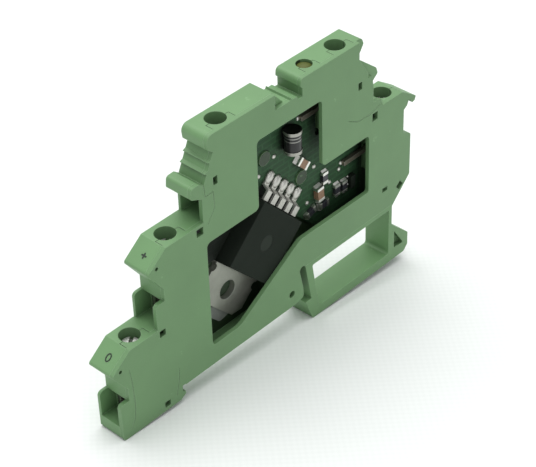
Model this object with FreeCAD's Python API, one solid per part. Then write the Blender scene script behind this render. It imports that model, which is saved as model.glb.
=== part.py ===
import FreeCAD, Part
import math
import os

# Rail-mounted terminal module, 6.2 mm wide, for a 35 mm hat rail. All lengths in millimetres.
# Frame: origin at the centre of the rail seat, +X along the module, +Y through its width
# from the open cover to the closed back, +Z up and away from the rail.

V = FreeCAD.Vector

# Width of the module and the walls of its housing
WIDTH = 6.2
WALL = 1.0
COVER_T = 0.9
BACK_T = 0.9
SEAM = 0.12
FRONT = -WIDTH / 2
BACK = WIDTH / 2
COVER_IN = FRONT + COVER_T
BACK_IN = BACK - BACK_T

# Rail and the hooks that hold it
RAIL_W = 35.0
RAIL_T = 1.0
RAIL_PLAY = 0.1
HOOK_REACH = 0.7
HOOK_GAP = 0.4
HOOK_LEAD = 0.3
HOOK_T = 0.7
HOOK_SLOPE = 0.6
SEAT_RELIEF = 0.2
SEAT_END = 13.4

# Heights of the three decks above the rail seat, and of what hangs below it
DECK1 = 17.0
DECK2 = 33.8
DECK3 = 51.1
WING_BOTTOM = -2.9
FOOT_BOTTOM = -6.8

# Left side: two stepped terminals, then the riser of the top deck
TIER_CORNER1 = -29.5
TIER_CORNER2 = -19.1
LABEL_RUN = 4.7
LABEL_DROP = 3.6
TIER_RECESS = 1.2
TIER_UNDERCUT = 8.5
TIER_LEDGE = 11.3
LEDGE_OUT = 3.45
RISER_LEFT = -9.7
RISER_TOP = 39.0
LIP_REACH = 2.7
LIP_T = 2.2
RIB_COUNT = 3
RIB_OUT = 0.5
GRIP_TOP_X = -6.4
GRIP_TOP_Z = 47.4
NOSE_LEFT = -8.0
NOSE_LEFT_RISE = 0.8

# Marker notch between the two top blocks
NOTCH_LEFT = 9.7
NOTCH_SLOPE = 2.8
NOTCH_RIGHT = 16.9
NOTCH_DEPTH = 3.2
NOTCH_RIB = 0.5
NOTCH_GROOVE = 0.7

# Right side
BLOCK_END = 34.4
NOSE_H = 3.0
NOSE_BULGE = 0.6
NOSE_TUCK = 0.4
THROAT_X = 32.8
THROAT_Z = 47.4
LIP2_X = 38.8
LIP2_Z = 42.5
LIP2_BULGE = 0.5
LIP2_T = 1.4
RISER_RIGHT = 37.0
RISER_RIGHT_TOP = 39.3
RISER_RIGHT_LOW = 35.8
TIER_CORNER3 = 45.9
DECK_RUN = 5.9
DECK_RAMP = 0.7
DECK_RAMP_DIP = 0.2
TIP_X = 50.15
TIP_T = 0.7
TIP_DROP = 0.4
TIP_EDGE = 0.3
TIP_HOOK = 1.1
TIP_NICK = 1.7
TIP_NICK_W = 0.5
TIP_ROOT = 2.7
TIP_R = 0.2
RIGHT_WALL = 46.5
RIGHT_SHOULDER = 4.5
RIGHT_LEDGE_RISE = 1.2
RIGHT_OUT = 48.8
RIGHT_LEDGE = 22.6
RIGHT_LOW = 12.7
HIP_X = 43.4
BODY_LOW = 7.4

# Snap foot: an open spring frame moulded with the base
ARM_TOP_X = 16.9
ARM_FACE_X = 18.5
ARM_T = 2.0
SLOT_W = 1.7
SLOT_R = 0.8
SLOT_LEAN = 0.95
SLOT_LOW = 1.1
SLOT_LIFT = 0.5
SLOT_BEND_DIP = 0.3
FOOT_BAR_T = 2.2
FOOT_BACK_T = 0.9
FOOT_WINDOW_TOP = 6.8
FOOT_END = 48.8
FOOT_HIP = 2.6
FOOT_TOE = -2.4
FOOT_POCKET_D = 1.2
FOOT_EYE_R = 0.6
PIVOT_HOLE_X = 12.9
PIVOT_HOLE_Z = 3.1
PIVOT_HOLE_R = 0.8

# Window in the cover
WIN_LEFT = -9.2
WIN_LOW = 4.5
WIN_DIAG_X1 = -1.7
WIN_DIAG_X2 = 15.6
WIN_MID = 15.1
WIN_RIGHT = 35.9
WIN_SHOULDER = 28.75
WIN_NECK_LEFT = 4.5
WIN_NECK_RIGHT = 22.2
WIN_TOP = 43.8
WIN_R = 1.0

# Screw clamps: name, centre, deck, depth of the wire entry and of the screw head below it,
# side the wire comes from, and where the soldered tail of the contact bar ends
MIDDLE_DROP = 11.6
CLAMPS = [
    ("lower_left", -26.6, DECK1, 11.6, 1.8, -1, -12.4),
    ("middle_left", -16.2, DECK2, MIDDLE_DROP, 2.4, -1, -8.4),
    ("top_left", -2.4, DECK3, 12.1, 3.1, -1, 6.0),
    ("top_right", 29.3, DECK3, 12.1, 3.1, 1, 20.4),
    ("lower_right", 43.1, DECK2, MIDDLE_DROP, 2.1, 1, 32.6),
]
HOLE_D = 4.1
HEAD_D = 3.7
HEAD_H = 1.5
HEAD_SLOT_W = 0.7
HEAD_SLOT_D = 0.8
HEAD_BEVEL = 0.25
HEAD_TURN = 35
THREAD_D = 3.0
THREAD_CLEAR = 0.06
SHANK_L = 7.0
CAGE_LIFT = 2.5
CAGE_L = 4.6
CAGE_W = 4.2
CAGE_SIDE = 0.6
CAGE_TOP = 1.6
CAGE_FLOOR = 0.8
CAGE_OVER_BAR = 0.3
CAGE_BEND_R = 0.5
WIRE_GAP = 3.4
CHAMBER_CLEAR = 0.12
CHAMBER_WALL = 0.7
ENTRY_BACK_T = 0.6
ENTRY_H = 5.2
ENTRY_FLARE = 0.6
ENTRY_REACH = 12.0
TAB_HALF = 2.75
TAB_DEPTH = 2.6

# Contact bars
BAR_T = 1.0
BAR_W = 2.8
BAR_CLEAR = 0.1
BAR_OVERRUN = 0.6
TAIL_T = 0.8
TAIL_W = 1.0
RISER_BAR_W = 1.6
RISER_BAR_GAP = 0.6

# Circuit board on the back wall
BOARD_T = 1.0
BOARD_FRONT = BACK_IN - BOARD_T
BOARD_LEFT = -12.0
BOARD_LOW_LEFT = 19.5
BOARD_LOW_RIGHT = 11.5
BOARD_RIGHT = 38.0
BOARD_SHOULDER = 32.3
BOARD_NECK_LEFT = 3.0
BOARD_NECK_RIGHT = 25.0
BOARD_TOP = 46.0
BOARD_GAP = 0.4
UPPER_POST = (10.6, 34.9)
LEAD_POST_ACROSS = 4.3
LEAD_POST_GAP = 0.5
POST_R = 1.5
POST_CLEAR = 0.1
POST_PROUD = 0.3

# Power transistor, lying on the back wall
POWER_X = -0.8
POWER_Z = 10.8
POWER_ANGLE = 43.5
POWER_W = 15.0
POWER_HOLE_D = 4.1
TAB_T = 1.3
TAB_END = 4.1
TAB_CHAMFER = 2.0
TAB_NOTCH_R = 0.8
TAB_NOTCH_BACK = 1.2
CASE_START = 3.96
CASE_L = 14.2
CASE_T = 4.3
CASE_DRAFT = 0.25
MARK_R = 1.75
MARK_DEPTH = 0.15
MARK_ALONG = 7.3
LEAD_COUNT = 5
LEAD_PITCH = 2.7
LEAD_W = 1.5
LEAD_T = 0.5
LEAD_OUT = 2.0
LEAD_SLOPE = 0.7
LEAD_FOOT = 2.6
LEAD_HEIGHT = 2.0
LEAD_BEND_BACK = 0.2
ADHESIVE_T = 0.5
ADHESIVE_OUT = 2.2
ADHESIVE_LEFT = 4.1
ADHESIVE_RIGHT = 0.3

# Indicator lamp under its hole in the top deck
LAMP_X = 20.8
LAMP_HOLE_D = 3.2
LAMP_D = 3.0
LAMP_FLANGE_D = 3.8
LAMP_FLANGE_H = 0.8
LAMP_SINK = 0.15
LAMP_CROWN = 0.45
LAMP_STAND = 0.3
LAMP_LEAD = 0.5
LAMP_LEAD_PITCH = 2.0
LAMP_LEAD_L = 3.4

# Small parts on the board
DIODE_X = 16.7
DIODE_Z = 36.6
DIODE_D = 3.6
DIODE_L = 5.0
DIODE_CAP = 0.7
DIODE_STEP = 0.2
CHIP_H = 0.7
RESISTOR_L = 2.6
RESISTOR_W = 1.4
RESISTORS = [(27.1, 21.7, 90), (30.7, 16.7, 90), (32.9, 16.4, 90), (26.8, 15.4, 0), (23.0, 15.6, 20)]
CAPACITOR_L = 3.2
CAPACITOR_W = 1.7
CAPACITOR_H = 1.2
CAPACITORS = [(25.2, 19.0, 95), (20.4, 28.9, -46)]
SMALL_X = 35.1
SMALL_Z = 16.6
SMALL_L = 2.9
SMALL_W = 1.3
SMALL_H = 1.0
SMALL_LIFT = 0.1
SMALL_PIN = 0.45
SMALL_PIN_H = 0.3
SMALL_PIN_OUT = 0.55
SMALL_PITCH = 1.9

# Pockets in the cover where the hooks of the base snap in: centre, size, angle
LATCHES = [
    (-21.4, 15.7, 1.5, 1.5, 0),
    (-10.7, 32.3, 1.7, 1.7, 0),
    (-6.2, 41.2, 1.1, 1.8, 0),
    (33.1, 41.4, 1.1, 1.7, 0),
    (37.6, 32.3, 1.6, 1.8, 0),
    (41.0, 12.9, 1.6, 1.0, 0),
    (45.7, 11.4, 1.6, 1.6, 38),
    (-21.6, -1.5, 1.4, 1.4, 0),
]
LATCH_DEPTH = 1.0
LIP_HOLE_DEPTH = 0.8

# Parting lines on the cover, as runs of (x, z), and the tiny holes beside the label corners
SEAM_LINES = [
    [(-30.0, 12.6), (-29.6, 9.0), (-29.4, 3.5), (-29.8, 0.6), (-31.0, -1.4)],
    [(-9.2, 42.6), (-8.9, 39.0), (-6.9, 39.2), (-6.7, 35.6), (-8.7, 32.8)],
    [(29.6, 35.2), (32.4, 33.7), (36.0, 33.5), (39.2, 34.4)],
    [(-18.1, 5.0), (-18.3, 2.4), (-19.2, -1.2)],
]
LABEL_PITS = [(-32.1, 13.55), (-21.6, 30.55)]
LABEL_PIT_D = 0.8


def closed_wire(corners, y):
    """Closed wire at depth y. A corner is (x, z) or (x, z, radius), and a radius rounds it off."""
    count = len(corners)
    edges = []
    starts, ends, mids = [], [], []
    for i, corner in enumerate(corners):
        here = V(corner[0], y, corner[1])
        radius = corner[2] if len(corner) > 2 else 0.0
        before = corners[i - 1]
        after = corners[(i + 1) % count]
        to_before = (V(before[0], y, before[1]) - here).normalize()
        to_after = (V(after[0], y, after[1]) - here).normalize()
        if radius <= 0.0:
            starts.append(here)
            ends.append(here)
            mids.append(None)
            continue
        half = to_before.getAngle(to_after) / 2
        reach = radius / math.tan(half)
        middle = (to_before + to_after).normalize()
        centre = here + middle * (radius / math.sin(half))
        starts.append(here + to_before * reach)
        ends.append(here + to_after * reach)
        mids.append(centre - middle * radius)
    for i in range(count):
        if mids[i] is not None:
            edges.append(Part.Arc(starts[i], mids[i], ends[i]).toShape())
        following = (i + 1) % count
        if ends[i].distanceToPoint(starts[following]) > 1e-6:
            edges.append(Part.LineSegment(ends[i], starts[following]).toShape())
    return Part.Wire(edges)


def plate(corners, y0, y1):
    """Prism of an outline between two depths."""
    return Part.Face(closed_wire(corners, y0)).extrude(V(0, y1 - y0, 0))


def block(x0, x1, y0, y1, z0, z1):
    return Part.makeBox(x1 - x0, y1 - y0, z1 - z0, V(x0, y0, z0))


def upright(x, y, z0, z1, diameter):
    return Part.makeCylinder(diameter / 2, z1 - z0, V(x, y, z0), V(0, 0, 1))


def across(x, z, y0, y1, radius):
    """Cylinder through the module's width."""
    return Part.makeCylinder(radius, y1 - y0, V(x, y0, z), V(0, 1, 0))


def turned_plate(cx, cz, length, width, angle, y0, y1):
    """Rectangular block standing off the board, turned in the plane of the module."""
    part = block(-length / 2, length / 2, y0, y1, -width / 2, width / 2)
    part.rotate(V(0, 0, 0), V(0, -1, 0), angle)
    part.translate(V(cx, 0, cz))
    return part


def tier(corner_x, deck):
    """Left profile of one stepped terminal, upwards: wire ledge, recess, label nose, label corner."""
    return [
        (corner_x - LEDGE_OUT, deck - TIER_LEDGE, 0.9),
        (corner_x - TIER_RECESS, deck - TIER_LEDGE),
        (corner_x - TIER_RECESS, deck - TIER_UNDERCUT),
        (corner_x - LABEL_RUN, deck - LABEL_DROP, 0.6),
        (corner_x, deck),
    ]


def grip_teeth():
    """Finger ribs on the slanted wall under the left nose."""
    low_x, low_z = RISER_LEFT + 0.6, RISER_TOP + LIP_T + 0.4
    teeth = []
    for i in range(1, RIB_COUNT):
        share = i / RIB_COUNT
        x = low_x + (GRIP_TOP_X - low_x) * share
        z = low_z + (GRIP_TOP_Z - low_z) * share
        teeth += [(x, z), (x - RIB_OUT, z + 0.15), (x + 0.25, z + 0.5)]
    return [(low_x, low_z)] + teeth + [(GRIP_TOP_X, GRIP_TOP_Z)]


def left_lip():
    """Lip that stands out over the wire entry of the top deck."""
    return [
        (RISER_LEFT, RISER_TOP),
        (RISER_LEFT - LIP_REACH, RISER_TOP + 1.2, 0.4),
        (RISER_LEFT - LIP_REACH + 0.2, RISER_TOP + 1.2 + LIP_T, 0.7),
        (RISER_LEFT - 0.6, RISER_TOP + 1.3 + LIP_T, 0.3),
    ]


def notch():
    """Notch for a marker strip, with a low rib and a groove in its floor."""
    floor = DECK3 - NOTCH_DEPTH
    rib = NOTCH_LEFT + NOTCH_SLOPE + 1.1
    return [
        (NOTCH_LEFT, DECK3),
        (NOTCH_LEFT + NOTCH_SLOPE, floor),
        (rib, floor),
        (rib + 0.25, floor + NOTCH_RIB),
        (rib + 0.6, floor),
        (NOTCH_RIGHT - 1.5, floor),
        (NOTCH_RIGHT - 1.2, floor - NOTCH_GROOVE),
        (NOTCH_RIGHT, floor - NOTCH_GROOVE),
        (NOTCH_RIGHT, floor + 1.1),
        (NOTCH_RIGHT - 0.5, floor + 1.5, 0.4),
        (NOTCH_RIGHT - 0.4, DECK3, 0.9),
    ]


def right_profile():
    """Right profile: nose of the top deck, lip, riser, third terminal with its hooked tip, wall."""
    deck_start = TIER_CORNER3 - DECK_RUN
    tip_low = DECK2 - LABEL_DROP
    return [
        (BLOCK_END, DECK3, 1.0),
        (BLOCK_END + NOSE_BULGE, DECK3 - NOSE_H / 2, 0.5),
        (BLOCK_END - NOSE_TUCK, DECK3 - NOSE_H, 0.2),
        (THROAT_X, THROAT_Z),
        (LIP2_X, LIP2_Z, 0.6),
        (LIP2_X + LIP2_BULGE, LIP2_Z - LIP2_T, 0.4),
        (RISER_RIGHT, RISER_RIGHT_TOP),
        (RISER_RIGHT, RISER_RIGHT_LOW, 0.4),
        (deck_start - DECK_RAMP, RISER_RIGHT_LOW - DECK_RAMP_DIP, 0.8),
        (deck_start, DECK2, 0.3),
        (TIER_CORNER3, DECK2),
        (TIP_X, tip_low + TIP_T, TIP_R),
        (TIP_X - TIP_EDGE, tip_low - TIP_DROP / 2, TIP_R),
        (TIP_X - TIP_HOOK, tip_low - TIP_DROP, TIP_R),
        (TIP_X - TIP_NICK, tip_low + TIP_T),
        (TIP_X - TIP_NICK - TIP_NICK_W, tip_low + TIP_T),
        (TIP_X - TIP_ROOT, tip_low - TIP_EDGE, TIP_R),
        (RIGHT_WALL, DECK2 - RIGHT_SHOULDER),
        (RIGHT_WALL, RIGHT_LEDGE + RIGHT_LEDGE_RISE, 0.3),
        (RIGHT_OUT, RIGHT_LEDGE, 0.5),
        (RIGHT_OUT, RIGHT_LOW, 0.6),
        (HIP_X, BODY_LOW),
    ]


def body_profile():
    """Outline of the module above its snap foot, clockwise from the tip of the wing."""
    low_left = TIER_CORNER1 - LEDGE_OUT
    rail_left = -RAIL_W / 2 - RAIL_PLAY
    slot_left = ARM_TOP_X - SLOT_W
    return (
        [(low_left, WING_BOTTOM, 0.8)]
        + tier(TIER_CORNER1, DECK1)
        + [(TIER_CORNER2 - LEDGE_OUT, DECK1)]
        + tier(TIER_CORNER2, DECK2)
        + [(RISER_LEFT, DECK2)]
        + left_lip()
        + grip_teeth()
        + [(NOSE_LEFT + NOSE_TUCK, GRIP_TOP_Z + NOSE_LEFT_RISE, 0.4), (NOSE_LEFT, DECK3, 1.4)]
        + notch()
        + right_profile()
        + [
            (slot_left, BODY_LOW),
            (slot_left + SLOT_LEAN, PIVOT_HOLE_Z - SLOT_BEND_DIP, 0.8),
            (slot_left + SLOT_LOW, SLOT_LIFT, 0.9),
            (SEAT_END, 0.0),
            (rail_left + HOOK_REACH + SEAT_RELIEF, 0.0),
            (rail_left + HOOK_REACH, SEAT_RELIEF),
            (rail_left, SEAT_RELIEF),
            (rail_left, -RAIL_T - HOOK_LEAD),
            (rail_left + HOOK_REACH, -RAIL_T - HOOK_GAP, 0.2),
            (rail_left + HOOK_REACH, -RAIL_T - HOOK_GAP - HOOK_T, 0.3),
            (rail_left - HOOK_SLOPE, WING_BOTTOM, 0.3),
        ]
    )


def core_profile():
    """Plain inner form of the same outline, from which the wall is measured."""
    low_left = TIER_CORNER1 - LEDGE_OUT
    slot_left = ARM_TOP_X - SLOT_W
    return (
        [(low_left, WING_BOTTOM)]
        + [p[:2] for p in tier(TIER_CORNER1, DECK1)]
        + [(TIER_CORNER2 - LEDGE_OUT, DECK1)]
        + [p[:2] for p in tier(TIER_CORNER2, DECK2)]
        + [
            (RISER_LEFT, DECK2),
            (RISER_LEFT, RISER_TOP + WALL),
            (GRIP_TOP_X, GRIP_TOP_Z),
            (GRIP_TOP_X, DECK3),
            (NOTCH_LEFT, DECK3),
            (NOTCH_LEFT + NOTCH_SLOPE, DECK3 - NOTCH_DEPTH - NOTCH_GROOVE),
            (NOTCH_RIGHT, DECK3 - NOTCH_DEPTH - NOTCH_GROOVE),
            (NOTCH_RIGHT, DECK3),
            (THROAT_X, DECK3),
            (THROAT_X, THROAT_Z),
            (RISER_RIGHT, RISER_RIGHT_TOP + NOSE_H),
            (RISER_RIGHT, DECK2),
            (RIGHT_WALL, DECK2),
            (RIGHT_WALL, RIGHT_LEDGE),
            (RIGHT_OUT, RIGHT_LEDGE),
            (RIGHT_OUT, RIGHT_LOW),
            (HIP_X, BODY_LOW),
            (slot_left, BODY_LOW),
            (slot_left + SLOT_LEAN, PIVOT_HOLE_Z),
            (SEAT_END, 0.0),
            (-RAIL_W / 2, 0.0),
            (-RAIL_W / 2, WING_BOTTOM),
        ]
    )


def foot_outline():
    toe = FOOT_END - 1.2
    return [
        (ARM_TOP_X, BODY_LOW + 0.4),
        (HIP_X, BODY_LOW + 0.4),
        (HIP_X, FOOT_HIP),
        (FOOT_END, FOOT_TOE, 0.5),
        (FOOT_END, FOOT_BOTTOM + 1.3),
        (toe, FOOT_BOTTOM, 0.6),
        (ARM_FACE_X + 0.4, FOOT_BOTTOM, 0.3),
        (RAIL_W / 2 - HOOK_REACH, -RAIL_T - HOOK_GAP - 0.1, 0.1),
        (ARM_FACE_X, -RAIL_T - HOOK_GAP),
    ]


def foot_window():
    bar_top = FOOT_BOTTOM + FOOT_BAR_T
    return [
        (ARM_TOP_X + ARM_T, FOOT_WINDOW_TOP, 0.4),
        (HIP_X - FOOT_BACK_T, FOOT_WINDOW_TOP, 0.4),
        (HIP_X - FOOT_BACK_T, bar_top, 0.6),
        (ARM_FACE_X + ARM_T + 0.2, bar_top, 0.8),
    ]


def cover_window():
    return [
        (WIN_LEFT, WIN_LOW, WIN_R),
        (WIN_DIAG_X1, WIN_LOW, 3.0),
        (WIN_DIAG_X2, WIN_MID, 3.0),
        (WIN_RIGHT, WIN_MID, WIN_R * 0.5),
        (WIN_RIGHT, WIN_SHOULDER, WIN_R),
        (WIN_NECK_RIGHT, WIN_SHOULDER, WIN_R),
        (WIN_NECK_RIGHT, WIN_TOP, WIN_R),
        (WIN_NECK_LEFT, WIN_TOP, WIN_R),
        (WIN_NECK_LEFT, WIN_SHOULDER, WIN_R),
        (WIN_LEFT, WIN_SHOULDER, WIN_R),
    ]


def beside_power(along, across):
    """Point in the plane of the module, measured from the tab's hole along and across its axis."""
    turn = math.radians(POWER_ANGLE)
    x = POWER_X + along * math.cos(turn) + across * math.sin(turn)
    z = POWER_Z + along * math.sin(turn) - across * math.cos(turn)
    return x, z


def posts():
    lead_end = CASE_START + CASE_L + LEAD_OUT + LEAD_SLOPE + LEAD_FOOT
    return [UPPER_POST, beside_power(lead_end + LEAD_POST_GAP + POST_R, LEAD_POST_ACROSS)]


def clamp_levels(deck, drop, head_depth):
    """Heights of one screw clamp at rest, with its cage down and open."""
    head_top = deck - head_depth
    entry_high = deck - drop
    bar_top = entry_high - ENTRY_FLARE + BAR_T
    cage_floor = bar_top - BAR_T - WIRE_GAP
    cage_top = bar_top + CAGE_OVER_BAR + CAGE_TOP
    return head_top, entry_high, bar_top, cage_floor, cage_top


def clamp_chamber(cx, deck, drop, head_depth, side):
    """Solid to add and space to cut for one clamp: chamber, screw hole and wire entry."""
    head_top, entry_high, bar_top, cage_floor, cage_top = clamp_levels(deck, drop, head_depth)
    half = CAGE_L / 2 + CHAMBER_CLEAR
    outer = half + CHAMBER_WALL
    low = cage_floor - CAGE_FLOOR - CHAMBER_CLEAR
    high = cage_top + CAGE_LIFT + CHAMBER_CLEAR
    entry_low = entry_high - ENTRY_H
    near, far = sorted([cx + side * half, cx + side * ENTRY_REACH])
    added = block(cx - outer, cx + outer, FRONT, BACK, low - CHAMBER_WALL, deck)
    added = added.fuse(block(near, far, FRONT, BACK, entry_low - CHAMBER_WALL, entry_high + CHAMBER_WALL))
    front_space = block(cx - half, cx + half, COVER_IN, 0, low, high)
    chamber = block(cx - half, cx + half, 0, BACK_IN, low, high).fuse(front_space)
    hole = upright(cx, 0, high - CHAMBER_CLEAR, deck + WALL, HOLE_D)
    tunnel = block(near, far, COVER_IN, BACK - ENTRY_BACK_T, entry_low, entry_high)
    left, right = sorted([cx - side * (half - CHAMBER_CLEAR), cx - side * (outer + CHAMBER_CLEAR)])
    bar_slot = block(
        left,
        right,
        COVER_IN,
        BAR_W / 2 + BAR_CLEAR,
        bar_top - BAR_T - BAR_CLEAR,
        bar_top + BAR_CLEAR,
    )
    return added, [chamber, hole, tunnel, bar_slot]


def trough(corner_x, deck, drop):
    """Space above a wire entry on the left, where the funnel is open between its two cheeks."""
    wall = corner_x - TIER_RECESS
    low = deck - drop - ENTRY_H / 2
    return block(wall - LEDGE_OUT, wall, COVER_IN, BACK - ENTRY_BACK_T, low, deck - TIER_UNDERCUT)


def cover_tab(cx, deck, drop, head_depth, grow):
    """Tongue of the cover that closes the front of a screw hole, or its recess when grown."""
    half = TAB_HALF + grow
    low = deck - head_depth - HEAD_H - grow
    return block(cx - half, cx + half, FRONT, FRONT + TAB_DEPTH + grow, low, deck + grow)


def lamp_tab(grow):
    low = DECK3 - WALL - grow
    half = LAMP_HOLE_D / 2 + LAMP_STAND + grow
    return block(LAMP_X - half, LAMP_X + half, FRONT, FRONT + TAB_DEPTH + grow, low, DECK3 + grow)


def latch_pockets(depth):
    return [turned_plate(x, z, w, h, angle, FRONT - WALL, depth) for x, z, w, h, angle in LATCHES]


def lip_hole():
    """Small opening under the edge of the cover, behind the lip of the right riser."""
    corners = [(LIP2_X - 3.3, LIP2_Z + 0.9), (LIP2_X - 2.3, LIP2_Z - 0.4), (LIP2_X - 3.4, LIP2_Z - 0.4)]
    return plate(corners, FRONT - WALL, COVER_IN + LIP_HOLE_DEPTH)


def cover_reliefs():
    """What the cover leaves free of the base: the notch's slope, and the two lips on the right."""
    floor = DECK3 - NOTCH_DEPTH
    facet = plate(
        [
            (NOTCH_LEFT - 0.1, DECK3 + WALL),
            (NOTCH_LEFT - 0.1, floor - 0.2),
            (NOTCH_LEFT + 0.5, floor),
            (NOTCH_LEFT + NOTCH_SLOPE + 0.1, floor),
            (NOTCH_LEFT + NOTCH_SLOPE + 0.1, DECK3 + WALL),
        ],
        FRONT - WALL,
        COVER_IN + WALL,
    )
    lips = plate(
        [
            (THROAT_X, DECK3 + WALL),
            (THROAT_X, THROAT_Z),
            (LIP2_X - 3.5, LIP2_Z + 0.9),
            (LIP2_X - 2.2, LIP2_Z - 0.5),
            (RISER_RIGHT, RISER_RIGHT_TOP),
            (LIP2_X + 2 * WALL, RISER_RIGHT_TOP),
            (LIP2_X + 2 * WALL, DECK3 + WALL),
        ],
        FRONT - WALL,
        COVER_IN + WALL,
    )
    return [facet, lips]


def seam_grooves():
    """Fine parting lines on the face of the cover, beside the wire entries."""
    runs = []
    for line in SEAM_LINES:
        for (x0, z0), (x1, z1) in zip(line, line[1:]):
            length = math.hypot(x1 - x0, z1 - z0)
            angle = math.degrees(math.atan2(z1 - z0, x1 - x0))
            middle = ((x0 + x1) / 2, (z0 + z1) / 2)
            runs.append(
                turned_plate(*middle, length + SEAM, SEAM, angle, FRONT - WALL, FRONT + SEAM)
            )
    return runs


def lamp_cut():
    return upright(LAMP_X, 0, DECK3 - 2 * WALL - 1.5, DECK3 + 1, LAMP_HOLE_D)


def make_base():
    body = plate(body_profile(), COVER_IN, BACK)
    core = Part.Face(closed_wire(core_profile(), FRONT))
    cavity = core.makeOffset2D(-WALL, 2, False, False, True).extrude(V(0, BACK_IN - FRONT, 0))
    shell = body.cut(cavity)
    for name, cx, deck, drop, depth, side, tail_end in CLAMPS:
        added = clamp_chamber(cx, deck, drop, depth, side)[0]
        shell = shell.fuse(added.common(body))
    for x, z in posts():
        shell = shell.fuse(across(x, z, BOARD_FRONT - POST_PROUD, BACK_IN, POST_R))
    cuts = [lamp_cut(), lamp_tab(SEAM)]
    for name, cx, deck, drop, depth, side, tail_end in CLAMPS:
        cuts += clamp_chamber(cx, deck, drop, depth, side)[1]
        cuts.append(cover_tab(cx, deck, drop, depth, SEAM))
    cuts.append(trough(TIER_CORNER1, DECK1, CLAMPS[0][3]))
    cuts.append(trough(TIER_CORNER2, DECK2, MIDDLE_DROP))
    cuts += latch_pockets(COVER_IN + LATCH_DEPTH)
    cuts.append(lip_hole())
    shell = shell.cut(cuts)
    foot = plate(foot_outline(), FRONT, BACK).cut(plate(foot_window(), FRONT - 1, BACK + 1))
    shell = shell.fuse(foot)
    pocket = plate(
        [
            (HIP_X + 0.9, FOOT_HIP - 2.2),
            (FOOT_END - 1.4, FOOT_TOE - 1.9, 0.3),
            (HIP_X + 0.9, FOOT_TOE - 1.6, 0.3),
        ],
        FRONT - WALL,
        FRONT + FOOT_POCKET_D,
    )
    eye = across(HIP_X + 1.9, FOOT_TOE - 0.9, FRONT - WALL, BACK + WALL, FOOT_EYE_R)
    pivot = across(PIVOT_HOLE_X, PIVOT_HOLE_Z, FRONT - WALL, BACK + WALL, PIVOT_HOLE_R)
    slot_end = across(ARM_TOP_X - SLOT_R, BODY_LOW, FRONT - WALL, BACK + WALL, SLOT_R)
    return shell.cut([pocket, eye, pivot, slot_end]).removeSplitter()


def make_cover():
    panel = plate(body_profile(), FRONT, COVER_IN)
    panel = panel.cut(plate(cover_window(), FRONT - 1, COVER_IN + 1))
    cuts = [lamp_cut()]
    for name, cx, deck, drop, depth, side, tail_end in CLAMPS:
        panel = panel.fuse(cover_tab(cx, deck, drop, depth, 0.0))
        cuts.append(upright(cx, 0, deck - drop, deck + WALL, HOLE_D))
    panel = panel.fuse(lamp_tab(0.0))
    cuts += latch_pockets(COVER_IN + WALL) + cover_reliefs() + seam_grooves() + [lip_hole()]
    for x, z in LABEL_PITS:
        cuts.append(across(x, z, FRONT - WALL, COVER_IN + WALL, LABEL_PIT_D / 2))
    cuts.append(across(PIVOT_HOLE_X, PIVOT_HOLE_Z, FRONT - WALL, COVER_IN + WALL, PIVOT_HOLE_R))
    cuts.append(plate(foot_outline(), FRONT - WALL, COVER_IN + WALL))
    cuts.append(across(ARM_TOP_X - SLOT_R, BODY_LOW, FRONT - WALL, COVER_IN + WALL, SLOT_R))
    return panel.cut(cuts).removeSplitter()


def power_frame(shape):
    """Places a shape drawn along the transistor's axis, with its tab hole at the origin."""
    shape.rotate(V(0, 0, 0), V(0, -1, 0), POWER_ANGLE)
    shape.translate(V(POWER_X, 0, POWER_Z))
    return shape


def make_tab():
    half = POWER_W / 2
    end = -TAB_END
    tab_front = BACK_IN - TAB_T
    tab = plate(
        [
            (end, -half + TAB_CHAMFER),
            (end + TAB_CHAMFER, -half),
            (CASE_START, -half),
            (CASE_START, half),
            (end + TAB_CHAMFER, half),
            (end, half - TAB_CHAMFER),
        ],
        tab_front,
        BACK_IN,
    )
    before, behind = tab_front - TAB_T, BACK_IN + TAB_T
    tab = tab.cut(across(0, 0, before, behind, POWER_HOLE_D / 2))
    for side in (-1, 1):
        tab = tab.cut(across(CASE_START - TAB_NOTCH_BACK, side * half, before, behind, TAB_NOTCH_R))
    return power_frame(tab)


def case_outline(inset):
    """Outline of the transistor's case, drawn in by the draft of its mould."""
    half = POWER_W / 2 - inset
    near, far = CASE_START + inset, CASE_START + CASE_L - inset
    return [(near, -half), (far, -half), (far, half), (near, half)]


def make_case():
    front = BACK_IN - CASE_T
    parting = BACK_IN - TAB_T
    low = closed_wire(case_outline(0.0), parting)
    high = closed_wire(case_outline(CASE_DRAFT), front)
    case = Part.makeLoft([low, high], True, True)
    case = case.fuse(plate(case_outline(0.0), parting, BACK_IN))
    mark = across(CASE_START + MARK_ALONG, 0, front - WALL, front + MARK_DEPTH, MARK_R)
    return power_frame(case.cut(mark).removeSplitter())


def make_lead(offset):
    """One formed lead: straight out of the case, down a slope, and flat on the board."""
    start = CASE_START + CASE_L
    bend = start + LEAD_OUT
    landing = bend + LEAD_SLOPE
    end = landing + LEAD_FOOT
    top = BOARD_FRONT - LEAD_HEIGHT
    path = [
        (start, top),
        (bend, top),
        (landing, BOARD_FRONT - LEAD_T),
        (end, BOARD_FRONT - LEAD_T),
        (end, BOARD_FRONT),
        (landing - LEAD_BEND_BACK, BOARD_FRONT),
        (bend - LEAD_BEND_BACK, top + LEAD_T),
        (start, top + LEAD_T),
    ]
    points = [V(a, y, offset - LEAD_W / 2) for a, y in path]
    wire = Part.makePolygon(points + points[:1])
    return power_frame(Part.Face(wire).extrude(V(0, 0, LEAD_W)))


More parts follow.
